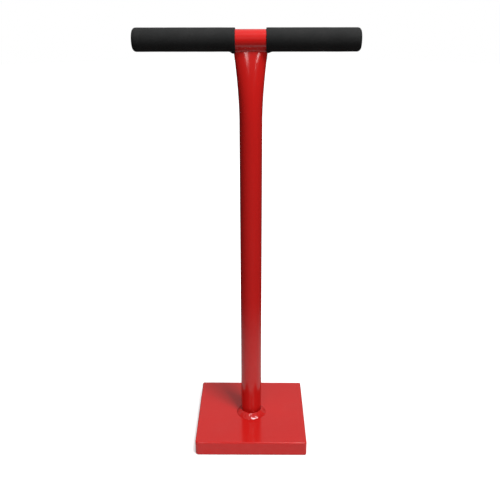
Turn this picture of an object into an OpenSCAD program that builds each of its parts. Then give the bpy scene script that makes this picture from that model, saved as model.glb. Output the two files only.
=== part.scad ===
// Hand tamper with a T handle: a square steel plate, a round shaft that is
// pinched oval under the handle, a cross tube and two closed foam grips.
// Millimetres. Z runs up the shaft, X along the handle, and the origin is the
// middle of the plate's underside.

/* [Base plate] */
// Side of the square plate
plate_w = 203; // [150:1:250]
// Thickness of the plate
plate_t = 27.5; // [12:0.5:32]
// Radius of the plate's four upright corners
plate_corner_r = 4; // [3:0.5:10]
// Radius of the plate's top and bottom edges
plate_edge_r = 3; // [1:0.5:4]

/* [Shaft] */
// Outside diameter of the shaft tube
shaft_d = 38; // [34:0.5:42]
// Wall of the shaft tube
shaft_wall = 2.5; // [1.5:0.1:4]
// How far under the handle's axis the pinch begins
pinch_drop = 130; // [90:1:180]
// Width of the pinched end, along the handle
pinch_w = 55; // [48:0.5:58]
// Thickness of the pinched end, across the handle
pinch_t = 16; // [14:0.5:22]
// How the pinch grows with height: 1 is straight, 2 is a soft start
pinch_power = 1.75; // [1.2:0.05:2.4]

/* [Handle] */
// Height of the handle's axis above the ground
handle_z = 720; // [500:1:1100]
// Outside diameter of the handle tube
handle_d = 32; // [30:0.5:33]
// Wall of the handle tube
handle_wall = 2.5; // [1.5:0.1:4]

/* [Grips] */
// Outside diameter of the foam grips
grip_d = 37; // [36:0.5:44]
// Reach of the left grip from the shaft's axis
left_reach = 189; // [150:0.5:230]
// Reach of the right grip from the shaft's axis
right_reach = 175.5; // [150:0.5:230]
// Where each grip begins, from the shaft's axis
grip_start = 24.6; // [22:0.1:32]
// Thickness of each grip's closed end
grip_end_t = 5; // [4:0.5:8]
// Radius of the rim of each closed end
grip_end_r = 6.5; // [3:0.5:7]
// Radius of the rim of each open end
grip_mouth_r = 1; // [0.4:0.2:1.2]
// How far each open end swells down over the weld under the handle
grip_swell = 3; // [2:0.5:5]

/* [Welds] */
// Leg of the fillet weld round the foot of the shaft
foot_leg = 9; // [5:0.5:12]
// Leg of the fillet weld under the handle
head_leg = 4; // [3:0.5:5]
// How far the face of a fillet stands proud of its two toes, as a share of the leg
weld_crown = 0.16; // [0:0.02:0.3]

/* [Hidden] */
$fn = 96;

paint_red = [0.78, 0.11, 0.10];
foam_black = [0.10, 0.10, 0.10];

shaft_r = shaft_d / 2;
handle_r = handle_d / 2;
grip_r = grip_d / 2;
pinch_z = handle_z - pinch_drop;      // where the round tube ends and the pinch begins
full_pinch_drop = handle_r;           // the pinch is full at the handle's underside
loft_top_drop = 7;                    // the lofts end inside the handle tube
loft_overlap = 1;                     // how far the lofts run down inside the round tube
loft_slack = 0.03;                    // how much slimmer they are there, so no faces coincide
loft_sides = 48;                      // sides of the pinched tube
loft_rings = 12;                      // rings up the pinched tube
root_depth = 0.6;                     // how far a fillet's root is drawn inside its walls
swell_r = 10;                         // radius of the swelling at a grip's mouth
swell_inset = 4;                      // how far inside the mouth the swelling is lowest
arc_steps = 8;                        // steps round a grip's rim or over the foot weld
head_steps = 4;                       // steps over the face of the head weld

// A square-cornered solid whose edges are all rounded, standing on z = 0
module rounded_slab(w, t, corner_r, edge_r) {
    intersection() {
        linear_extrude(t) rounded_rectangle(w, w, corner_r);
        translate([0, w / 2, t / 2]) rotate([90, 0, 0])
            linear_extrude(w) rounded_rectangle(w, t, edge_r);
        translate([-w / 2, 0, t / 2]) rotate([0, 0, 90]) rotate([90, 0, 0])
            linear_extrude(w) rounded_rectangle(w, t, edge_r);
    }
}

module rounded_rectangle(w, h, r) {
    square([w - 2 * r, h], center = true);
    square([w, h - 2 * r], center = true);
    for (x = [-1, 1], y = [-1, 1])
        translate([x * (w / 2 - r), y * (h / 2 - r)]) circle(r = r);
}

// A solid bar along X, on the handle's axis
module handle_bar(r, from_x, to_x) {
    translate([from_x, 0, handle_z]) rotate([0, 90, 0]) cylinder(r = r, h = to_x - from_x);
}

// The pinch at a drop under the handle's axis: 0 where the tube is round, 1 at the handle
function pinch_share(drop) =
    pow(min(1, max(0, (pinch_drop - drop) / (pinch_drop - full_pinch_drop))), pinch_power);
function pinched(flat, drop) =
    shaft_r - loft_slack + (flat / 2 - shaft_r + loft_slack) * pinch_share(drop);
function half_width(drop) = pinched(pinch_w, drop);
function half_depth(drop) = pinched(pinch_t, drop);

// A point on the pinched tube's wall, moved outwards by grow
function wall_point(angle, drop, grow = 0) = [
    (half_width(drop) + grow) * cos(angle),
    (half_depth(drop) + grow) * sin(angle),
    handle_z - drop
];

// The faces of a skin over rings of count points each, with both ends closed
function skin_faces(rings, count) = concat(
    [[for (i = [0:count - 1]) i]],
    [for (k = [0:rings - 2], i = [0:count - 1])
        let (a = k * count + i, b = k * count + (i + 1) % count)
        [a, a + count, b + count, b]],
    [[for (i = [count - 1:-1:0]) (rings - 1) * count + i]]
);

// The solid inside the pinched tube's wall, from the round tube up into the handle
module pinch_loft(grow) {
    start_drop = pinch_drop + loft_overlap;
    points = [
        for (k = [0:loft_rings - 1])
            let (drop = start_drop + (loft_top_drop - start_drop) * k / (loft_rings - 1))
            for (i = [0:loft_sides - 1]) wall_point(i * 360 / loft_sides, drop, grow)
    ];
    polyhedron(points, skin_faces(loft_rings, loft_sides), convexity = 4);
}

// The drop at which the handle's underside lies over a point y off the axis
function underside_drop(y) = sqrt(handle_r * handle_r - y * y);

// The outline of a head fillet at one angle round the pinched end: root, toe on
// the handle, crowned face, toe on the shaft
function head_weld_outline(angle) =
    let (
        corner_y = half_depth(full_pinch_drop) * sin(angle),
        corner_drop = underside_drop(corner_y),
        root = wall_point(angle, corner_drop - root_depth, -root_depth),
        shaft_toe = wall_point(angle, corner_drop + head_leg, -root_depth / 4),
        reach = wall_point(angle, corner_drop, head_leg),
        handle_toe = [reach[0], reach[1], handle_z - underside_drop(reach[1]) + root_depth / 4],
        outwards = (wall_point(angle, corner_drop, 1) - wall_point(angle, corner_drop, 0)) - [0, 0, 1]
    )
    concat([root], [
        for (k = [0:head_steps])
            let (share = k / head_steps)
            handle_toe + (shaft_toe - handle_toe) * share
                + outwards * weld_crown * head_leg * sin(180 * share)
    ]);

// One run of the head weld, between two angles round the pinched end
module head_weld_run(from_angle, to_angle) {
    stations = loft_sides / 2 + 1;
    points = [
        for (k = [0:stations - 1])
            each head_weld_outline(from_angle + (to_angle - from_angle) * k / (stations - 1))
    ];
    difference() {
        polyhedron(points, skin_faces(stations, head_steps + 2), convexity = 6);
        pinch_loft(0);
        handle_bar(handle_r, -pinch_w, pinch_w);
    }
}

module base_plate() {
    color(paint_red) rounded_slab(plate_w, plate_t, plate_corner_r, plate_edge_r);
}

module foot_weld() {
    face = [
        for (k = [0:arc_steps])
            let (share = k / arc_steps, bulge = weld_crown * foot_leg * sin(180 * share) / sqrt(2))
            [shaft_r + foot_leg * (1 - share) + bulge, foot_leg * share + bulge]
    ];
    color(paint_red) translate([0, 0, plate_t])
        rotate_extrude() polygon(concat([[shaft_r, 0]], face));
}

module shaft_tube() {
    color(paint_red) difference() {
        union() {
            translate([0, 0, plate_t]) cylinder(r = shaft_r, h = pinch_z - plate_t);
            pinch_loft(0);
        }
        translate([0, 0, plate_t - 1])
            cylinder(r = shaft_r - shaft_wall, h = pinch_z - plate_t + 1);
        pinch_loft(-shaft_wall);
        handle_bar(handle_r, -pinch_w, pinch_w);
    }
}

module head_weld_front() {
    color(paint_red) head_weld_run(180, 360);
}

module head_weld_back() {
    color(paint_red) head_weld_run(0, 180);
}

module handle_tube() {
    left_end = -(left_reach - grip_end_t);
    right_end = right_reach - grip_end_t;
    color(paint_red) difference() {
        handle_bar(handle_r, left_end, right_end);
        handle_bar(handle_r - handle_wall, left_end - 1, right_end + 1);
    }
}

// A closed foam sleeve on the +X side. Its mouth swells under the handle, where
// the foam is pushed over the corner of the pinched shaft
module grip(reach) {
    swell_x = grip_start + swell_inset;
    swell_drop = grip_r + grip_swell - swell_r;
    difference() {
        union() {
            translate([0, 0, handle_z]) rotate([0, 90, 0])
                rotate_extrude() grip_half_section(reach);
            intersection() {
                translate([swell_x, 0, handle_z - swell_drop]) sphere(r = swell_r);
                handle_bar(grip_r + swell_r, grip_start, grip_start + 3 * swell_r);
            }
        }
        handle_bar(handle_r, 0, reach - grip_end_t);
        pinch_loft(0);
        head_weld_run(180, 360);
        head_weld_run(0, 180);
    }
}

// The solid outline of a grip, radius along X and length along Y
module grip_half_section(reach) {
    mouth = [
        for (k = [0:arc_steps]) let (t = 90 * k / arc_steps)
            [grip_r - grip_mouth_r * (1 - sin(t)), grip_start + grip_mouth_r * (1 - cos(t))]
    ];
    end = [
        for (k = [0:arc_steps]) let (t = 90 * k / arc_steps)
            [grip_r - grip_end_r * (1 - cos(t)), reach - grip_end_r * (1 - sin(t))]
    ];
    polygon(concat([[0, grip_start]], mouth, end, [[0, reach]]));
}

module left_grip() {
    color(foam_black) mirror([1, 0, 0]) grip(left_reach);
}

module right_grip() {
    color(foam_black) grip(right_reach);
}

base_plate();
foot_weld();
shaft_tube();
head_weld_front();
head_weld_back();
handle_tube();
left_grip();
right_grip();
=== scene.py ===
import math

import bmesh
import bpy
from mathutils import Matrix, Vector, noise


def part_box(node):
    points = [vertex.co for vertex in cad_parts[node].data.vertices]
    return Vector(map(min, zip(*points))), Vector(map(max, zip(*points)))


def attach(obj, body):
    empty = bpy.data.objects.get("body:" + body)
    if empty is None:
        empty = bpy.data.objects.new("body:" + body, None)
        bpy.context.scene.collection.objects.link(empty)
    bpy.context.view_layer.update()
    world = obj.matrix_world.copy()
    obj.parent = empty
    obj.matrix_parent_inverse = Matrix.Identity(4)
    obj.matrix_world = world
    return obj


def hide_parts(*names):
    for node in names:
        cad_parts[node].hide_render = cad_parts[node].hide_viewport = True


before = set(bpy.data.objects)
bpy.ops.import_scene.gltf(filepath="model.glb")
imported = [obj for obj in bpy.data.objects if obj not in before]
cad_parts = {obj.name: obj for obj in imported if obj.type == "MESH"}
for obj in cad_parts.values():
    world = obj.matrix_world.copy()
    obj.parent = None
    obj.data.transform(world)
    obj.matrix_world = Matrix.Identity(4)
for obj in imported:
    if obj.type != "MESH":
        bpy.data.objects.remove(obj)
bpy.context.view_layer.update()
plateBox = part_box("base_plate")
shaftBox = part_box("shaft_tube")
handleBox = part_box("handle_tube")
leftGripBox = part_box("left_grip")
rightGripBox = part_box("right_grip")

plateTop = plateBox[1].z
handleAxis = (handleBox[0].z + handleBox[1].z) / 2
handleRadius = (handleBox[1].z - handleBox[0].z) / 2
shaftRadius = (shaftBox[1].y - shaftBox[0].y) / 2
print("frame loaded, handle axis at", round(handleAxis, 4))


def feed(tree, socket, value):
    if isinstance(value, bpy.types.NodeSocket):
        tree.links.new(value, socket)
    elif value is not None:
        socket.default_value = value


def addNode(tree, kind, settings=None, **inputs):
    node = tree.nodes.new(kind)
    for name, value in (settings or {}).items():
        setattr(node, name, value)
    for name, value in inputs.items():
        feed(tree, node.inputs[name.replace("_", " ")], value)
    return node


def calc(tree, operation, *values):
    node = tree.nodes.new("ShaderNodeMath")
    node.operation = operation
    for socket, value in zip(node.inputs, values):
        feed(tree, socket, value)
    return node.outputs[0]


def vectorCalc(tree, operation, *values):
    node = tree.nodes.new("ShaderNodeVectorMath")
    node.operation = operation
    for index, value in enumerate(values):
        place = 3 if operation == "SCALE" and index == 1 else index  # SCALE keeps its factor in socket 3
        feed(tree, node.inputs[place], value)
    return node.outputs[1 if operation in ("LENGTH", "DOT_PRODUCT") else 0]


def ramp(tree, value, start, end, low=0.0, high=1.0):
    node = tree.nodes.new("ShaderNodeMapRange")
    node.interpolation_type = "SMOOTHSTEP"
    for name, given in zip(("Value", "From Min", "From Max", "To Min", "To Max"),
                           (value, start, end, low, high)):
        feed(tree, node.inputs[name], given)
    return node.outputs[0]


def mixColors(tree, factor, first, second, blend="MIX"):
    node = tree.nodes.new("ShaderNodeMix")
    node.data_type = "RGBA"
    node.blend_type = blend
    feed(tree, node.inputs[0], factor)
    feed(tree, node.inputs[6], first)
    feed(tree, node.inputs[7], second)
    return node.outputs[2]


def newTree(name, kind, inputs, outputs):
    tree = bpy.data.node_groups.new(name, kind)
    for socketName, socketKind, value in inputs:
        socket = tree.interface.new_socket(name=socketName, in_out="INPUT", socket_type=socketKind)
        if value is not None:
            socket.default_value = value
    for socketName, socketKind in outputs:
        tree.interface.new_socket(name=socketName, in_out="OUTPUT", socket_type=socketKind)
    given = tree.nodes.new("NodeGroupInput").outputs
    result = tree.nodes.new("NodeGroupOutput").inputs
    return tree, given, result


def closeSurface(tree, geometry, given, result):
    # seams and poles are welded, then the finish goes on
    merged = addNode(tree, "GeometryNodeMergeByDistance", Geometry=geometry, Distance=0.000002).outputs[0]
    smooth = addNode(tree, "GeometryNodeSetShadeSmooth", Geometry=merged).outputs[0]
    realized = addNode(tree, "GeometryNodeRealizeInstances", Geometry=smooth).outputs[0]
    finished = addNode(tree, "GeometryNodeSetMaterial", Geometry=realized, Material=given["Material"])
    tree.links.new(finished.outputs[0], result["Geometry"])


def unitGrid(tree, around, along):
    # a flat sheet of points whose place gives how far round and how far along each one is
    grid = addNode(tree, "GeometryNodeMeshGrid", Size_X=1.0, Size_Y=1.0, Vertices_X=around, Vertices_Y=along)
    place = addNode(tree, "GeometryNodeInputPosition").outputs[0]
    parts = addNode(tree, "ShaderNodeSeparateXYZ", Vector=place).outputs
    return grid.outputs[0], calc(tree, "ADD", parts[0], 0.5), calc(tree, "ADD", parts[1], 0.5)


def placePoints(tree, geometry, x, y, z):
    place = addNode(tree, "ShaderNodeCombineXYZ", X=x, Y=y, Z=z).outputs[0]
    return addNode(tree, "GeometryNodeSetPosition", Geometry=geometry, Position=place).outputs[0]


def meshFrom(name, points, edges=(), faces=(), attributes=None):
    mesh = bpy.data.meshes.new(name)
    mesh.from_pydata(points, edges, faces)
    for attributeName, values in (attributes or {}).items():
        attribute = mesh.attributes.new(attributeName, "FLOAT_VECTOR", "POINT")
        for item, value in zip(attribute.data, values):
            item.vector = value
    mesh.update()
    piece = bpy.data.objects.new(name, mesh)
    bpy.context.scene.collection.objects.link(piece)
    return piece


def runTree(piece, tree, settings):
    # sets the named inputs, then keeps only the plain mesh that the tree makes
    modifier = piece.modifiers.new("shape", "NODES")
    modifier.node_group = tree
    for item in tree.interface.items_tree:
        if item.item_type == "SOCKET" and item.in_out == "INPUT" and item.name in settings:
            modifier[item.identifier] = settings[item.name]
    bpy.context.view_layer.update()
    evaluated = piece.evaluated_get(bpy.context.evaluated_depsgraph_get())
    made = bpy.data.meshes.new_from_object(evaluated)
    piece.modifiers.remove(modifier)
    piece.data = made
    faceOutwards(made)
    print(piece.name, "has", len(made.polygons), "faces")
    return piece


def faceOutwards(mesh):
    shape = bmesh.new()
    shape.from_mesh(mesh)
    if shape.calc_volume(signed=True) < 0:
        bmesh.ops.reverse_faces(shape, faces=shape.faces)
    shape.to_mesh(mesh)
    shape.free()


def keepPiece(piece, slot, *nodes):
    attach(piece, "root")
    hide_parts(*nodes)


# Paint and foam effects that several materials share

def buildPaintSkin():
    tree, given, result = newTree("paintSkin", "ShaderNodeTree", [
        ("Vector", "NodeSocketVector", None),
        ("Color", "NodeSocketColor", (0.5, 0.01, 0.01, 1)),
        ("Peel Scale", "NodeSocketFloat", 420.0),
        ("Tone Shift", "NodeSocketFloat", 0.1),
        ("Nib Height", "NodeSocketFloat", 0.3),
        ("Roughness", "NodeSocketFloat", 0.2),
    ], [("Color", "NodeSocketColor"), ("Roughness", "NodeSocketFloat"), ("Height", "NodeSocketFloat")])
    broad = addNode(tree, "ShaderNodeTexNoise", Vector=given["Vector"], Scale=11.0, Detail=3.0).outputs[0]
    patch = ramp(tree, broad, 0.35, 0.7)
    depth = calc(tree, "MULTIPLY", patch, given["Tone Shift"])
    deep = mixColors(tree, 1.0, given["Color"], (0.72, 0.45, 0.45, 1), "MULTIPLY")
    tree.links.new(mixColors(tree, depth, given["Color"], deep), result["Color"])
    peel = addNode(tree, "ShaderNodeTexNoise", Vector=given["Vector"], Scale=given["Peel Scale"],
                   Detail=1.5, Roughness=0.4).outputs[0]
    swirl = addNode(tree, "ShaderNodeTexNoise", Vector=given["Vector"], Scale=70.0, Detail=1.0).outputs[0]
    nibs = addNode(tree, "ShaderNodeTexVoronoi", Vector=given["Vector"], Scale=120.0)
    dot = ramp(tree, nibs.outputs["Distance"], 0.075, 0.02)
    chosen = calc(tree, "GREATER_THAN", addNode(tree, "ShaderNodeSeparateColor",
                                                Color=nibs.outputs["Color"]).outputs[0], 0.86)
    nib = calc(tree, "MULTIPLY", calc(tree, "MULTIPLY", dot, chosen), given["Nib Height"])
    height = calc(tree, "MULTIPLY_ADD", swirl, 0.6, calc(tree, "ADD", peel, nib))
    tree.links.new(height, result["Height"])
    haze = addNode(tree, "ShaderNodeTexNoise", Vector=given["Vector"], Scale=38.0, Detail=4.0).outputs[0]
    shift = calc(tree, "MULTIPLY_ADD", calc(tree, "SUBTRACT", haze, 0.5), 0.12, given["Roughness"])
    tree.links.new(calc(tree, "MAXIMUM", shift, 0.03), result["Roughness"])
    return tree


def buildFineDust():
    tree, given, result = newTree("fineDust", "ShaderNodeTree", [
        ("Vector", "NodeSocketVector", None),
        ("Amount", "NodeSocketFloat", 0.05),
        ("Speck Scale", "NodeSocketFloat", 900.0),
    ], [("Mask", "NodeSocketFloat")])
    normal = addNode(tree, "ShaderNodeNewGeometry").outputs["Normal"]
    facing = addNode(tree, "ShaderNodeSeparateXYZ", Vector=normal)
    upward = ramp(tree, facing.outputs[2], 0.1, 0.95)
    drift = addNode(tree, "ShaderNodeTexNoise", Vector=given["Vector"], Scale=26.0, Detail=4.0).outputs[0]
    speck = addNode(tree, "ShaderNodeTexNoise", Vector=given["Vector"], Scale=given["Speck Scale"],
                    Detail=2.0).outputs[0]
    settled = calc(tree, "MULTIPLY", ramp(tree, drift, 0.35, 0.75), ramp(tree, speck, 0.48, 0.7))
    mask = calc(tree, "MULTIPLY", calc(tree, "MULTIPLY", settled, upward), given["Amount"])
    tree.links.new(mask, result["Mask"])
    return tree


def placeGroup(tree, group, **inputs):
    node = tree.nodes.new("ShaderNodeGroup")
    node.node_tree = group
    for name, value in inputs.items():
        feed(tree, node.inputs[name.replace("_", " ")], value)
    return node.outputs


def startMaterial(name):
    material = bpy.data.materials.new(name)
    material.use_nodes = True
    tree = material.node_tree
    place = addNode(tree, "ShaderNodeTexCoord").outputs["Object"]
    return material, tree, tree.nodes["Principled BSDF"], place


def paintMaterial(name, settings):
    material, tree, surface, place = startMaterial(name)
    skin = placeGroup(tree, paintSkin, Vector=place, Color=settings["color"],
                      Peel_Scale=settings["peelScale"], Tone_Shift=settings["toneShift"],
                      Nib_Height=settings["nibHeight"], Roughness=settings["roughness"])
    dust = placeGroup(tree, fineDust, Vector=place, Amount=settings["dust"], Speck_Scale=1100.0)["Mask"]
    feed(tree, surface.inputs["Base Color"], mixColors(tree, dust, skin["Color"], (0.55, 0.5, 0.47, 1)))
    feed(tree, surface.inputs["Roughness"], calc(tree, "ADD", skin["Roughness"], dust))
    bump = addNode(tree, "ShaderNodeBump", Strength=1.0, Distance=settings["peelDepth"],
                   Height=skin["Height"])
    feed(tree, surface.inputs["Normal"], bump.outputs[0])
    surface.inputs["IOR"].default_value = 1.5
    return material


def foamMaterial(name, settings):
    material, tree, surface, place = startMaterial(name)
    cells = addNode(tree, "ShaderNodeTexVoronoi", Vector=place, Scale=settings["cellScale"])
    fine = addNode(tree, "ShaderNodeTexNoise", Vector=place, Scale=settings["cellScale"] * 0.6, Detail=3.0)
    handled = addNode(tree, "ShaderNodeTexNoise", Vector=place, Scale=24.0, Detail=4.0).outputs[0]
    # the foam's colour is darker in the pits at the cell centres: painted shade in the pits, mixed with a
    # random tone
    pores = ramp(tree, cells.outputs["Distance"], 0.1, 0.6)
    height = calc(tree, "MULTIPLY_ADD", fine.outputs[0], 0.7, pores)
    shade = calc(tree, "MULTIPLY_ADD", handled, 0.5, calc(tree, "MULTIPLY", pores, 0.5))
    tone = mixColors(tree, shade, settings["darkColor"], settings["lightColor"])
    # painted top light: the grip's colour is lighter on its upper side and darker underneath, by the way the
    # surface faces
    normal = addNode(tree, "ShaderNodeNewGeometry").outputs["Normal"]
    facing = addNode(tree, "ShaderNodeSeparateXYZ", Vector=normal)
    paintedTopLight = ramp(tree, facing.outputs[2], -0.45, 0.9)
    tone = mixColors(tree, paintedTopLight, tone, settings["paintedTopLightColor"])
    dust = placeGroup(tree, fineDust, Vector=place, Amount=settings["dust"], Speck_Scale=1500.0)["Mask"]
    feed(tree, surface.inputs["Base Color"], mixColors(tree, dust, tone, (0.16, 0.155, 0.15, 1)))
    feed(tree, surface.inputs["Roughness"], ramp(tree, handled, 0.3, 0.7, settings["roughness"], 0.95))
    bump = addNode(tree, "ShaderNodeBump", Strength=1.0, Distance=settings["poreDepth"], Height=height)
    feed(tree, surface.inputs["Normal"], bump.outputs[0])
    surface.inputs["Specular IOR Level"].default_value = 0.15
    surface.inputs["Sheen Weight"].default_value = settings["sheen"]
    surface.inputs["Sheen Roughness"].default_value = 0.6
    return material


paintSkin = buildPaintSkin()
fineDust = buildFineDust()

platePaintSettings = {"color": (0.60, 0.0130, 0.0108, 1), "peelScale": 420.0, "peelDepth": 0.00003,
                      "toneShift": 0.12, "nibHeight": 0.5, "roughness": 0.15, "dust": 0.03}
tubePaintSettings = {"color": (0.59, 0.0128, 0.0108, 1), "peelScale": 520.0, "peelDepth": 0.000016,
                     "toneShift": 0.12, "nibHeight": 0.4, "roughness": 0.12, "dust": 0.02}
weldPaintSettings = {"color": (0.56, 0.0120, 0.0100, 1), "peelScale": 300.0, "peelDepth": 0.00005,
                     "toneShift": 0.3, "nibHeight": 1.0, "roughness": 0.08, "dust": 0.02}
# paintedTopLightColor is the painted top light given to the grips' upper side
gripFoamSettings = {"darkColor": (0.0055, 0.0056, 0.0056, 1), "lightColor": (0.0110, 0.0112, 0.0112, 1),
                    "paintedTopLightColor": (0.020, 0.0203, 0.0205, 1), "cellScale": 2100.0, "poreDepth": 0.00012,
                    "roughness": 0.72, "sheen": 0.02, "dust": 0.12}

platePaint = paintMaterial("redPlatePaint", platePaintSettings)
tubePaint = paintMaterial("redTubePaint", tubePaintSettings)
weldPaint = paintMaterial("redWeldPaint", weldPaintSettings)
gripFoam = foamMaterial("blackGripFoam", gripFoamSettings)
print("paint and foam ready")


# The plate: thick flat bar, cut square, with softened edges and one corner more rounded than the rest

plateSettings = {"topEdge": 0.0028, "bottomEdge": 0.0024, "corners": (0.0068, 0.0042, 0.0034, 0.0036),
                 "leastCorner": 0.0006, "cornerSteps": 14, "sideSteps": 44, "edgeSteps": 7,
                 "sideWaves": 0.00016, "waveScale": 38, "rim": 0.0008, "flatInset": 0.012,
                 "sideShares": (0.06, 0.2, 0.4, 0.6, 0.8, 0.94)}


def plateOutline(inset):
    # corners run front left, front right, back right, back left
    half = (plateBox[1].x - plateBox[0].x) / 2
    outline = []
    for index, corner in enumerate(plateSettings["corners"]):
        radius = max(corner - inset, plateSettings["leastCorner"])
        turn = math.radians(180 + 90 * index)
        sx = -1 if index in (0, 3) else 1
        sy = -1 if index < 2 else 1
        cx = sx * (half - inset - radius)
        cy = sy * (half - inset - radius)
        for step in range(plateSettings["cornerSteps"] + 1):
            angle = turn + math.radians(90) * step / plateSettings["cornerSteps"]
            outline.append(Vector((cx + radius * math.cos(angle), cy + radius * math.sin(angle))))
        following = (index + 1) % 4
        nextRadius = max(plateSettings["corners"][following] - inset, plateSettings["leastCorner"])
        start = outline[-1]
        reach = half - inset - nextRadius
        end = [Vector((reach, start.y)), Vector((start.x, reach)),
               Vector((-reach, start.y)), Vector((start.x, -reach))][index]
        for step in range(1, plateSettings["sideSteps"]):
            outline.append(start.lerp(end, step / plateSettings["sideSteps"]))
    return outline


def buildPlate():
    low, high = plateBox[0].z, plateBox[1].z
    top, bottom, steps = plateSettings["topEdge"], plateSettings["bottomEdge"], plateSettings["edgeSteps"]
    rim, flat = plateSettings["rim"], plateSettings["flatInset"]
    rings = [(flat, low), (bottom + rim, low)]
    for step in range(steps + 1):
        angle = math.radians(90) * step / steps
        rings.append((bottom * (1 - math.sin(angle)), low + bottom * (1 - math.cos(angle))))
    for share in plateSettings["sideShares"]:
        rings.append((0.0, low + bottom + (high - top - low - bottom) * share))
    for step in range(steps + 1):
        angle = math.radians(90) * step / steps
        rings.append((top * (1 - math.cos(angle)), high - top * (1 - math.sin(angle))))
    rings += [(top + rim, high), (flat, high)]
    points = []
    for inset, z in rings:
        for place in plateOutline(inset):
            wave = noise.noise(Vector((place.x, place.y, z * 2.5)) * plateSettings["waveScale"])
            inward = place.normalized() * (abs(wave * plateSettings["sideWaves"]) if inset < top else 0)
            points.append((place.x - inward.x, place.y - inward.y, z))
    count = len(plateOutline(0))
    faces = [tuple(range(count - 1, -1, -1))]
    for ring in range(len(rings) - 1):
        for step in range(count):
            a = ring * count + step
            b = ring * count + (step + 1) % count
            faces.append((a, b, b + count, a + count))
    faces.append(tuple((len(rings) - 1) * count + step for step in range(count)))
    plate = meshFrom("plate", points, faces=faces)
    plate.data.materials.append(platePaint)
    plate.data.polygons.foreach_set("use_smooth", [True] * len(plate.data.polygons))
    faceOutwards(plate.data)
    return plate


plate = buildPlate()
keepPiece(plate, "red_paint", "base_plate")
print("plate made")


# The shaft: a round tube whose section follows one rule up to the saddle under the handle

shaftSettings = {"Radius": shaftRadius, "Wall": 0.0025, "Foot": plateTop, "Axis": handleAxis,
                 "Handle Radius": handleRadius, "Pinch Drop": 0.130, "Half Width": 0.0275,
                 "Half Depth": 0.008, "Power": 1.75, "Around": 112, "Along": 150, "Waves": 0.00007,
                 "Material": tubePaint}


def buildPinchedTube():
    tree, given, result = newTree("pinchedTube", "GeometryNodeTree", [
        ("Geometry", "NodeSocketGeometry", None),
        ("Radius", "NodeSocketFloat", 0.019), ("Wall", "NodeSocketFloat", 0.0025),
        ("Foot", "NodeSocketFloat", 0.0), ("Axis", "NodeSocketFloat", 0.7),
        ("Handle Radius", "NodeSocketFloat", 0.016), ("Pinch Drop", "NodeSocketFloat", 0.1),
        ("Half Width", "NodeSocketFloat", 0.027), ("Half Depth", "NodeSocketFloat", 0.008),
        ("Power", "NodeSocketFloat", 1.7), ("Around", "NodeSocketInt", 96), ("Along", "NodeSocketInt", 120),
        ("Waves", "NodeSocketFloat", 0.0), ("Material", "NodeSocketMaterial", None),
    ], [("Geometry", "NodeSocketGeometry")])
    along = given["Along"]
    sheet, around, up = unitGrid(tree, calc(tree, "ADD", given["Around"], 1),
                                 calc(tree, "MULTIPLY_ADD", along, 2, 3))
    angle = calc(tree, "MULTIPLY", around, math.tau)
    cosine, sine = calc(tree, "COSINE", angle), calc(tree, "SINE", angle)
    # the section's loop runs up the outside, over the end, down the inside and back under
    step = calc(tree, "MULTIPLY", up, calc(tree, "MULTIPLY_ADD", along, 2, 2))
    inside = calc(tree, "MULTIPLY", calc(tree, "GREATER_THAN", step, calc(tree, "ADD", along, 0.5)),
                  calc(tree, "LESS_THAN", step, calc(tree, "MULTIPLY_ADD", along, 2, 1.5)))
    back = calc(tree, "SUBTRACT", calc(tree, "MULTIPLY_ADD", along, 2, 1), step)
    rise = calc(tree, "DIVIDE", calc(tree, "MAXIMUM", calc(tree, "MINIMUM", step, back), 0), along)
    rise = calc(tree, "POWER", calc(tree, "MINIMUM", rise, 1), 0.72)
    grow = calc(tree, "MULTIPLY", inside, calc(tree, "MULTIPLY", given["Wall"], -1))
    endDepth = calc(tree, "MULTIPLY", calc(tree, "ADD", given["Half Depth"], grow), sine)
    saddle = calc(tree, "SQRT", calc(tree, "SUBTRACT", calc(tree, "POWER", given["Handle Radius"], 2),
                                     calc(tree, "MULTIPLY", endDepth, endDepth)))
    end = calc(tree, "SUBTRACT", given["Axis"], saddle)
    height = calc(tree, "MULTIPLY_ADD", rise, calc(tree, "SUBTRACT", end, given["Foot"]), given["Foot"])
    drop = calc(tree, "SUBTRACT", given["Axis"], height)
    share = calc(tree, "DIVIDE", calc(tree, "SUBTRACT", given["Pinch Drop"], drop),
                 calc(tree, "SUBTRACT", given["Pinch Drop"], given["Handle Radius"]))
    share = calc(tree, "MINIMUM", calc(tree, "MAXIMUM", share, 0), 1)
    share = calc(tree, "POWER", share, given["Power"])
    lifted = calc(tree, "MULTIPLY", height, 14)  # a short wave along the tube, a long one round it
    place = addNode(tree, "ShaderNodeCombineXYZ", X=cosine, Y=sine, Z=lifted).outputs[0]
    ripple = addNode(tree, "ShaderNodeTexNoise", Vector=place, Scale=0.8, Detail=1.0).outputs[0]
    grow = calc(tree, "MULTIPLY_ADD", calc(tree, "SUBTRACT", ripple, 0.5), given["Waves"], grow)

    def halfOf(flat):
        change = calc(tree, "SUBTRACT", given[flat], given["Radius"])
        return calc(tree, "ADD", calc(tree, "MULTIPLY_ADD", change, share, given["Radius"]), grow)

    moved = placePoints(tree, sheet, calc(tree, "MULTIPLY", halfOf("Half Width"), cosine),
                        calc(tree, "MULTIPLY", halfOf("Half Depth"), sine), height)
    closeSurface(tree, moved, given, result)
    return tree


shaft = runTree(meshFrom("shaft", [(0, 0, 0)]), buildPinchedTube(), shaftSettings)
keepPiece(shaft, "red_paint", "shaft_tube")
print("shaft made")


# Weld beads: a crowned, rippled fillet that follows a path and reaches from one toe line to the other

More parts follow.
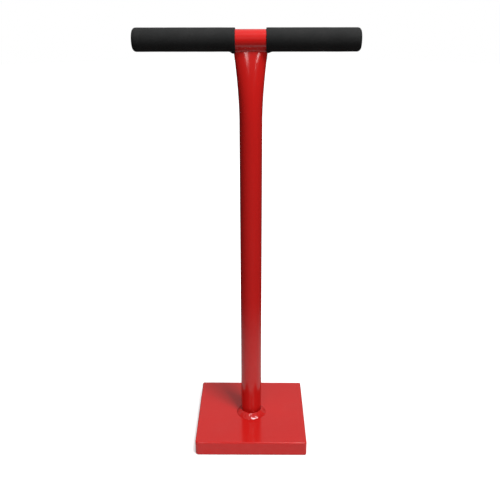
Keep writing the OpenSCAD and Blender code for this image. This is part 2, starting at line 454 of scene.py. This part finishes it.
def buildWeldBead():
    tree, given, result = newTree("weldBead", "GeometryNodeTree", [
        ("Geometry", "NodeSocketGeometry", None),
        ("Stations", "NodeSocketInt", 200), ("Face Steps", "NodeSocketInt", 14),
        ("Crown", "NodeSocketFloat", 0.001), ("Sink", "NodeSocketFloat", 0.0002),
        ("Ripples", "NodeSocketFloat", 30.0), ("Ripple Height", "NodeSocketFloat", 0.0004),
        ("Crescent", "NodeSocketFloat", 0.9), ("Unevenness", "NodeSocketFloat", 0.3),
        ("Lumps", "NodeSocketFloat", 0.0006), ("Lump Scale", "NodeSocketFloat", 170.0),
        ("Closed", "NodeSocketFloat", 0.0),
        ("End Share", "NodeSocketFloat", 0.05), ("Seed", "NodeSocketFloat", 0.0),
        ("Material", "NodeSocketMaterial", None),
    ], [("Geometry", "NodeSocketGeometry")])
    face = given["Face Steps"]
    sheet, along, across = unitGrid(tree, given["Stations"], calc(tree, "ADD", face, 3))
    path = addNode(tree, "GeometryNodeMeshToCurve", Mesh=given["Geometry"]).outputs[0]

    def alongPath(attributeName):
        field = addNode(tree, "GeometryNodeInputNamedAttribute", {"data_type": "FLOAT_VECTOR"},
                        Name=attributeName)
        sample = addNode(tree, "GeometryNodeSampleCurve", {"data_type": "FLOAT_VECTOR", "mode": "FACTOR"},
                         Curves=path, Value=field.outputs[0], Factor=along)
        return sample.outputs["Value"], sample.outputs["Position"]

    firstLeg, corner = alongPath("firstLeg")
    secondLeg, corner = alongPath("secondLeg")
    outward = vectorCalc(tree, "NORMALIZE", vectorCalc(tree, "ADD", firstLeg, secondLeg))
    shift = addNode(tree, "ShaderNodeCombineXYZ", X=given["Seed"]).outputs[0]
    seeded = vectorCalc(tree, "ADD", corner, shift)
    wander = addNode(tree, "ShaderNodeTexNoise", Vector=seeded, Scale=95.0, Detail=2.0).outputs[0]
    wander = calc(tree, "SUBTRACT", wander, 0.5)
    nearEnd = calc(tree, "DIVIDE", calc(tree, "MINIMUM", along, calc(tree, "SUBTRACT", 1, along)),
                   given["End Share"])
    opening = calc(tree, "SUBTRACT", 1, calc(tree, "MINIMUM", nearEnd, 1))
    rounded = calc(tree, "SQRT", calc(tree, "SUBTRACT", 1, calc(tree, "MULTIPLY", opening, opening)))
    fullness = calc(tree, "MAXIMUM", rounded, given["Closed"])
    # across the section: the face from toe to toe, then the root, then the first toe again
    step = calc(tree, "MULTIPLY", across, calc(tree, "ADD", face, 2))
    atRoot = calc(tree, "COMPARE", step, calc(tree, "ADD", face, 1), 0.4)
    wrapped = calc(tree, "LESS_THAN", step, calc(tree, "ADD", face, 1.5))
    share = calc(tree, "MINIMUM", calc(tree, "DIVIDE", calc(tree, "MULTIPLY", step, wrapped), face), 1)
    hump = calc(tree, "MULTIPLY", calc(tree, "MULTIPLY", share, calc(tree, "SUBTRACT", 1, share)), 4)
    curl = calc(tree, "MULTIPLY", hump, given["Crescent"])
    phase = calc(tree, "MULTIPLY_ADD", along, given["Ripples"], curl)
    phase = calc(tree, "MULTIPLY_ADD", wander, 1.4, phase)
    crest = calc(tree, "ABSOLUTE", calc(tree, "SINE", calc(tree, "MULTIPLY", phase, math.pi)))
    crest = calc(tree, "SUBTRACT", calc(tree, "POWER", crest, 0.8), 0.5)
    body = calc(tree, "POWER", hump, 0.8)
    height = calc(tree, "MULTIPLY", body, given["Crown"])
    height = calc(tree, "MULTIPLY_ADD", calc(tree, "MULTIPLY", crest, given["Ripple Height"]),
                  calc(tree, "POWER", hump, 0.5), height)
    lump = addNode(tree, "ShaderNodeTexNoise", Vector=seeded, Scale=given["Lump Scale"], Detail=1.0)
    lump = calc(tree, "SUBTRACT", lump.outputs[0], 0.45)
    height = calc(tree, "MULTIPLY_ADD", calc(tree, "MULTIPLY", lump, given["Lumps"]), body, height)
    height = calc(tree, "SUBTRACT", height, given["Sink"])
    reach = calc(tree, "MULTIPLY", fullness, calc(tree, "MULTIPLY_ADD", wander, given["Unevenness"], 1))
    legs = vectorCalc(tree, "ADD", vectorCalc(tree, "SCALE", firstLeg, calc(tree, "SUBTRACT", 1, share)),
                      vectorCalc(tree, "SCALE", secondLeg, share))
    offset = vectorCalc(tree, "ADD", vectorCalc(tree, "SCALE", legs, reach),
                        vectorCalc(tree, "SCALE", outward, calc(tree, "MULTIPLY", height, fullness)))
    offset = vectorCalc(tree, "SCALE", offset, calc(tree, "SUBTRACT", 1, atRoot))
    place = vectorCalc(tree, "ADD", corner, offset)
    moved = addNode(tree, "GeometryNodeSetPosition", Geometry=sheet, Position=place)
    closeSurface(tree, moved.outputs[0], given, result)
    return tree


weldBead = buildWeldBead()

footWeldSettings = {"Stations": 420, "Face Steps": 16, "Crown": 0.0003, "Ripples": 18.0,
                    "Ripple Height": 0.00042, "Crescent": 0.9, "Unevenness": 0.34, "Lumps": 0.0017,
                    "Lump Scale": 120.0, "Closed": 1.0, "Seed": 11.9, "Material": weldPaint}
headWeldSettings = {"Stations": 190, "Face Steps": 12, "Crown": 0.0004, "Ripples": 17.0,
                    "Ripple Height": 0.0003, "Crescent": 0.8, "Unevenness": 0.22, "Lumps": 0.0008,
                    "Lump Scale": 170.0, "Closed": 0.0, "End Share": 0.045, "Material": weldPaint}
footWeldSize = {"up": 0.0070, "out": 0.0090, "frontMore": 0.0034}
headLeg = 0.0039


def footWeldPath():
    points, risers, spreads = [], [], []
    steps = 96
    for step in range(steps):
        angle = math.tau * step / steps
        away = Vector((math.cos(angle), math.sin(angle), 0))
        points.append(away * shaftRadius + Vector((0, 0, plateTop)))
        risers.append(Vector((0, 0, footWeldSize["up"])))
        out = footWeldSize["out"] - footWeldSize["frontMore"] * math.sin(angle)  # the front is at minus Y
        spreads.append(away * out)
    edges = [(step, (step + 1) % steps) for step in range(steps)]
    return meshFrom("footWeld", points, edges, attributes={"firstLeg": risers, "secondLeg": spreads})


def headWeldPath(name, startDegrees):
    # the corner line runs round the pinched end, on the underside of the handle
    points, risers, spreads = [], [], []
    steps = 64

    def onHandle(angle, grow):
        x = (shaftSettings["Half Width"] + grow) * math.cos(angle)
        y = (shaftSettings["Half Depth"] + grow) * math.sin(angle)
        return Vector((x, y, handleAxis - math.sqrt(handleRadius ** 2 - y ** 2)))

    for step in range(steps + 1):
        angle = math.radians(startDegrees + 180 * step / steps)
        corner = onHandle(angle, 0)
        points.append(corner)
        spreads.append(onHandle(angle, headLeg) - corner)
        risers.append(Vector((-0.04 * math.cos(angle), 0.15 * math.sin(angle), -1)) * headLeg)
    edges = [(step, step + 1) for step in range(steps)]
    return meshFrom(name, points, edges, attributes={"firstLeg": risers, "secondLeg": spreads})


footWeld = runTree(footWeldPath(), weldBead, footWeldSettings)
keepPiece(footWeld, "red_paint", "foot_weld")
for name, start, seed, node in (("headWeldFront", 180, 1.7, "head_weld_front"),
                                ("headWeldBack", 0, 4.2, "head_weld_back")):
    bead = runTree(headWeldPath(name, start), weldBead, {**headWeldSettings, "Seed": seed})
    keepPiece(bead, "red_paint", node)
print("welds made")


# Turned pieces: a profile taken once round the handle's axis, with the foam pushed out over the weld

def buildTurnedPiece():
    tree, given, result = newTree("turnedPiece", "GeometryNodeTree", [
        ("Geometry", "NodeSocketGeometry", None),
        ("Around", "NodeSocketInt", 96), ("Axis", "NodeSocketFloat", 0.7), ("Side", "NodeSocketFloat", 1.0),
        ("Outer Radius", "NodeSocketFloat", 0.019), ("Wall", "NodeSocketFloat", 0.0025),
        ("Swell", "NodeSocketFloat", 0.0), ("Squeeze", "NodeSocketFloat", 0.4),
        ("Swell Full", "NodeSocketFloat", 0.029), ("Swell End", "NodeSocketFloat", 0.037),
        ("Notch", "NodeSocketFloat", 0.0), ("Mouth", "NodeSocketFloat", 0.025),
        ("Unevenness", "NodeSocketFloat", 0.0), ("Uneven Scale", "NodeSocketFloat", 30.0),
        ("Seed", "NodeSocketFloat", 0.0), ("Material", "NodeSocketMaterial", None),
    ], [("Geometry", "NodeSocketGeometry")])
    size = addNode(tree, "GeometryNodeAttributeDomainSize", Geometry=given["Geometry"])
    count = size.outputs["Point Count"]
    sheet, around, along = unitGrid(tree, calc(tree, "ADD", given["Around"], 1), count)
    index = calc(tree, "ROUND", calc(tree, "MULTIPLY", along, calc(tree, "SUBTRACT", count, 1)))
    place = addNode(tree, "GeometryNodeInputPosition").outputs[0]
    profile = addNode(tree, "GeometryNodeSampleIndex", {"data_type": "FLOAT_VECTOR"},
                      Geometry=given["Geometry"], Value=place, Index=index).outputs[0]
    parts = addNode(tree, "ShaderNodeSeparateXYZ", Vector=profile).outputs
    length, radius = parts[0], parts[1]
    angle = calc(tree, "MULTIPLY", around, math.tau)  # from straight down
    cosine, sine = calc(tree, "COSINE", angle), calc(tree, "SINE", angle)
    depth = calc(tree, "DIVIDE", calc(tree, "SUBTRACT", given["Outer Radius"], radius), given["Wall"])
    push = calc(tree, "MULTIPLY", ramp(tree, length, given["Swell End"], given["Swell Full"]),
                ramp(tree, cosine, 0.45, 0.97))
    push = calc(tree, "MULTIPLY", push, calc(tree, "MULTIPLY_ADD", depth, given["Squeeze"], 1))
    grown = calc(tree, "MULTIPLY_ADD", push, given["Swell"], radius)
    notchEnd = calc(tree, "ADD", given["Mouth"], 0.011)
    opened = calc(tree, "MULTIPLY", ramp(tree, length, notchEnd, given["Mouth"]),
                  ramp(tree, cosine, 0.86, 0.995))
    shifted = calc(tree, "MULTIPLY_ADD", opened, given["Notch"], length)
    place = addNode(tree, "ShaderNodeCombineXYZ", X=calc(tree, "ADD", shifted, given["Seed"]),
                    Y=calc(tree, "MULTIPLY", sine, radius), Z=calc(tree, "MULTIPLY", cosine, radius))
    uneven = addNode(tree, "ShaderNodeTexNoise", Vector=place.outputs[0], Scale=given["Uneven Scale"],
                     Detail=2.0).outputs[0]
    skin = ramp(tree, depth, 1.0, 0.3)
    uneven = calc(tree, "MULTIPLY", calc(tree, "SUBTRACT", uneven, 0.5),
                  calc(tree, "MULTIPLY", skin, given["Unevenness"]))
    onAxis = calc(tree, "GREATER_THAN", radius, 0.00001)
    grown = calc(tree, "MULTIPLY", calc(tree, "ADD", grown, uneven), onAxis)
    moved = placePoints(tree, sheet, calc(tree, "MULTIPLY", shifted, given["Side"]),
                        calc(tree, "MULTIPLY", grown, sine),
                        calc(tree, "SUBTRACT", given["Axis"], calc(tree, "MULTIPLY", grown, cosine)))
    closeSurface(tree, moved, given, result)
    return tree


turnedPiece = buildTurnedPiece()


def arcPoints(centre, radius, startDegrees, endDegrees, steps):
    turn = endDegrees - startDegrees
    angles = [math.radians(startDegrees + turn * step / steps) for step in range(steps + 1)]
    return [(centre[0] + radius * math.cos(angle), centre[1] + radius * math.sin(angle)) for angle in angles]


def spanPoints(start, end, spacing):
    steps = max(1, round(math.dist(start, end) / spacing))
    acrossSpan, upSpan = end[0] - start[0], end[1] - start[1]
    return [(start[0] + acrossSpan * step / steps, start[1] + upSpan * step / steps)
            for step in range(1, steps)]


def profilePiece(name, profile):
    return meshFrom(name, [(x, radius, 0) for x, radius in profile])


handleSettings = {"wall": 0.0025, "edge": 0.0006, "spacing": 0.008}


def handleProfile():
    left, right = handleBox[0].x, handleBox[1].x
    outer, inner, edge = handleRadius, handleRadius - handleSettings["wall"], handleSettings["edge"]
    spacing = handleSettings["spacing"]
    profile = arcPoints((left + edge, outer - edge), edge, 180, 90, 4)
    profile += [(left + 0.002, outer)] + spanPoints((left + 0.002, outer), (right - 0.002, outer), spacing)
    profile += [(right - 0.002, outer)] + arcPoints((right - edge, outer - edge), edge, 90, 0, 4)
    profile += arcPoints((right - edge, inner + edge), edge, 0, -90, 4)
    profile += [(right - 0.002, inner)] + spanPoints((right - 0.002, inner), (left + 0.002, inner), spacing)
    profile += [(left + 0.002, inner)] + arcPoints((left + edge, inner + edge), edge, 270, 180, 4)
    return profile + profile[:1]


handle = runTree(profilePiece("handle", handleProfile()), turnedPiece, {
    "Around": 128, "Axis": handleAxis, "Outer Radius": handleRadius, "Wall": handleSettings["wall"],
    "Material": tubePaint})
keepPiece(handle, "red_paint", "handle_tube")
print("handle made")


gripSettings = {"gap": 0.00006, "endThickness": 0.0048, "endRadius": 0.0062, "endDome": 0.0009, "lip": 0.0011,
                "fineSpacing": 0.0011, "spacing": 0.0024, "fineLength": 0.016}
gripShape = {"Around": 128, "Axis": handleAxis, "Squeeze": 0.45, "Swell Full": 0.0270,
             "Swell End": 0.0345, "Notch": 0.0016, "Unevenness": 0.00042, "Uneven Scale": 34.0,
             "Material": gripFoam}


def gripProfile(start, reach, outer):
    bore, lip, rim = handleRadius + gripSettings["gap"], gripSettings["lip"], gripSettings["endRadius"]
    floor, dome = reach - gripSettings["endThickness"], gripSettings["endDome"]
    fine, coarse = gripSettings["fineSpacing"], gripSettings["spacing"]
    middle = start + gripSettings["fineLength"]
    profile = [(floor, 0.0), (floor, bore * 0.3), (floor, bore * 0.65), (floor, bore * 0.92)]
    profile += arcPoints((floor - 0.0006, bore - 0.0006), 0.0006, 0, 90, 3)
    profile += spanPoints((floor - 0.0006, bore), (middle, bore), coarse * 2) + [(middle, bore)]
    profile += spanPoints((middle, bore), (start + lip, bore), fine)
    profile += arcPoints((start + lip, bore + lip), lip, -90, -180, 5)
    profile += arcPoints((start + lip, outer - lip), lip, 180, 90, 5)
    profile += spanPoints((start + lip, outer), (middle, outer), fine) + [(middle, outer)]
    profile += spanPoints((middle, outer), (reach - dome - rim, outer), coarse)
    profile += arcPoints((reach - dome - rim, outer - rim), rim, 90, 4, 12)
    flat = outer - rim
    for share in (0.85, 0.68, 0.5, 0.32, 0.15, 0.0):
        profile.append((reach - dome * share * share, flat * share))
    return profile


gripSides = (("leftGrip", -1.0, leftGripBox, "left_grip", 0.37, 0.0029),
             ("rightGrip", 1.0, rightGripBox, "right_grip", 2.11, 0.0019))

for name, side, box, node, seed, swell in gripSides:
    ends = sorted((abs(box[0].x), abs(box[1].x)))
    outer = (box[1].y - box[0].y) / 2
    grip = runTree(profilePiece(name, gripProfile(ends[0], ends[1], outer)), turnedPiece, {
        **gripShape, "Side": side, "Outer Radius": outer, "Wall": outer - handleRadius, "Mouth": ends[0],
        "Seed": seed, "Swell": swell})
    keepPiece(grip, "grip_foam", node)
print("grips made")


# Studio: pale floor, soft lights and the camera

def buildFloor():
    rings, around, radius = 40, 96, 7.0
    points = [(0, 0, floorSettings["height"])]
    for ring in range(1, rings + 1):
        reach = radius * (ring / rings) ** 1.8
        points += [(reach * math.cos(math.tau * k / around), reach * math.sin(math.tau * k / around),
                    floorSettings["height"]) for k in range(around)]
    faces = [(0, 1 + k, 1 + (k + 1) % around) for k in range(around)]
    for ring in range(rings - 1):
        for k in range(around):
            a = 1 + ring * around + k
            b = 1 + ring * around + (k + 1) % around
            faces.append((a, a + around, b + around, b))
    floor = meshFrom("floor", points, faces=faces)
    material = bpy.data.materials.new("paleFloor")
    material.use_nodes = True
    tree = material.node_tree
    surface = tree.nodes["Principled BSDF"]
    away = vectorCalc(tree, "LENGTH", addNode(tree, "ShaderNodeTexCoord").outputs["Object"])
    seen = addNode(tree, "ShaderNodeLightPath").outputs["Is Camera Ray"]
    white = ramp(tree, away, floorSettings["fadeStart"], floorSettings["fadeEnd"], floorSettings["near"],
                 floorSettings["far"])
    tone = calc(tree, "MAXIMUM", white, calc(tree, "MULTIPLY", seen, floorSettings["seen"]))
    grey = addNode(tree, "ShaderNodeCombineXYZ", X=tone, Y=tone, Z=tone).outputs[0]
    feed(tree, surface.inputs["Base Color"], grey)
    surface.inputs["Roughness"].default_value = 0.7
    surface.inputs["Emission Color"].default_value = (1, 1, 1, 1)
    glow = calc(tree, "MULTIPLY", ramp(tree, away, 0.10, 0.40, 0.40, 1.0), seen)
    feed(tree, surface.inputs["Emission Strength"], glow)
    floor.data.materials.append(material)
    return floor


lightSettings = {
    "key": {"azimuth": 36.0, "reach": 0.93, "height": 2.45, "size": (0.50, 0.80), "power": 43.5},
    "lowKey": {"azimuth": 22.0, "reach": 2.30, "height": 1.49, "size": (0.30, 0.90), "power": 10.2},
    "fill": {"azimuth": -12.3, "reach": 2.30, "height": 1.57, "size": (0.40, 0.94), "power": 8.2},
    "overhead": {"azimuth": 0.0, "reach": 0.01, "height": 2.40, "size": (2.4, 2.4), "power": 4.0},
}
roomSettings = {"base": 0.02, "back": 0.47, "front": 0.26, "above": 0.35}
floorSettings = {"near": 0.62, "far": 0.03, "fadeStart": 0.22, "fadeEnd": 0.60, "seen": 0.9,
                 "height": -0.0002}


def buildLights():
    target = Vector((0, 0, 0.40))
    for name, given in lightSettings.items():
        light = bpy.data.lights.new(name, "AREA")
        light.shape = "RECTANGLE"
        light.size, light.size_y = given["size"]
        light.energy = given["power"]
        lamp = bpy.data.objects.new(name, light)
        azimuth = math.radians(given["azimuth"])
        reach = given["reach"]
        place = Vector((math.sin(azimuth) * reach, -math.cos(azimuth) * reach, given["height"]))
        turned = (target - place).to_track_quat("-Z", "Y").to_matrix().to_4x4()
        lamp.matrix_world = Matrix.Translation(place) @ turned
        bpy.context.scene.collection.objects.link(lamp)


def buildRoom():
    world = bpy.data.worlds.new("room")
    bpy.context.scene.world = world
    world.use_nodes = True
    tree = world.node_tree
    tree.nodes.clear()
    direction = addNode(tree, "ShaderNodeTexCoord").outputs["Generated"]
    parts = addNode(tree, "ShaderNodeSeparateXYZ", Vector=direction)
    raised = ramp(tree, parts.outputs[2], 0.05, 0.35)
    glow = roomSettings["base"]
    for side, share in (("back", ramp(tree, parts.outputs[1], 0.15, 0.7)),
                        ("front", ramp(tree, parts.outputs[1], -0.15, -0.7)),
                        ("above", ramp(tree, parts.outputs[2], 0.7, 1.0))):
        glow = calc(tree, "MULTIPLY_ADD", calc(tree, "MULTIPLY", share, raised), roomSettings[side], glow)
    room = addNode(tree, "ShaderNodeBackground", Strength=glow)
    backdrop = addNode(tree, "ShaderNodeBackground", Color=(1, 1, 1, 1), Strength=1.0)
    room.inputs["Color"].default_value = (1, 1, 1, 1)
    mix = tree.nodes.new("ShaderNodeMixShader")
    feed(tree, mix.inputs[0], addNode(tree, "ShaderNodeLightPath").outputs["Is Camera Ray"])
    tree.links.new(room.outputs[0], mix.inputs[1])
    tree.links.new(backdrop.outputs[0], mix.inputs[2])
    tree.links.new(mix.outputs[0], tree.nodes.new("ShaderNodeOutputWorld").inputs[0])


cameraSettings = {"place": (0.0101, -1.1286, 0.7996), "pitch": 21.165, "yaw": 0.606, "roll": 0.118,
                  "lens": 49.15}


def buildCamera():
    camera = bpy.data.cameras.new("camera")
    camera.lens = cameraSettings["lens"]
    camera.sensor_width = 36.0
    viewer = bpy.data.objects.new("camera", camera)
    pitch, yaw, roll = (math.radians(cameraSettings[name]) for name in ("pitch", "yaw", "roll"))
    ahead = Vector((-math.sin(yaw) * math.cos(pitch), math.cos(yaw) * math.cos(pitch), -math.sin(pitch)))
    right = Vector((math.cos(yaw), math.sin(yaw), 0))
    up = right.cross(ahead)
    turnedRight = right * math.cos(roll) - up * math.sin(roll)
    turnedUp = right * math.sin(roll) + up * math.cos(roll)
    axes = Matrix((turnedRight, turnedUp, -ahead)).transposed().to_4x4()
    viewer.matrix_world = Matrix.Translation(Vector(cameraSettings["place"])) @ axes
    bpy.context.scene.collection.objects.link(viewer)
    bpy.context.scene.camera = viewer


buildFloor()
buildLights()
buildRoom()
buildCamera()
bpy.context.scene.view_settings.view_transform = "Standard"
bpy.context.scene.view_settings.look = "None"
print("studio ready")
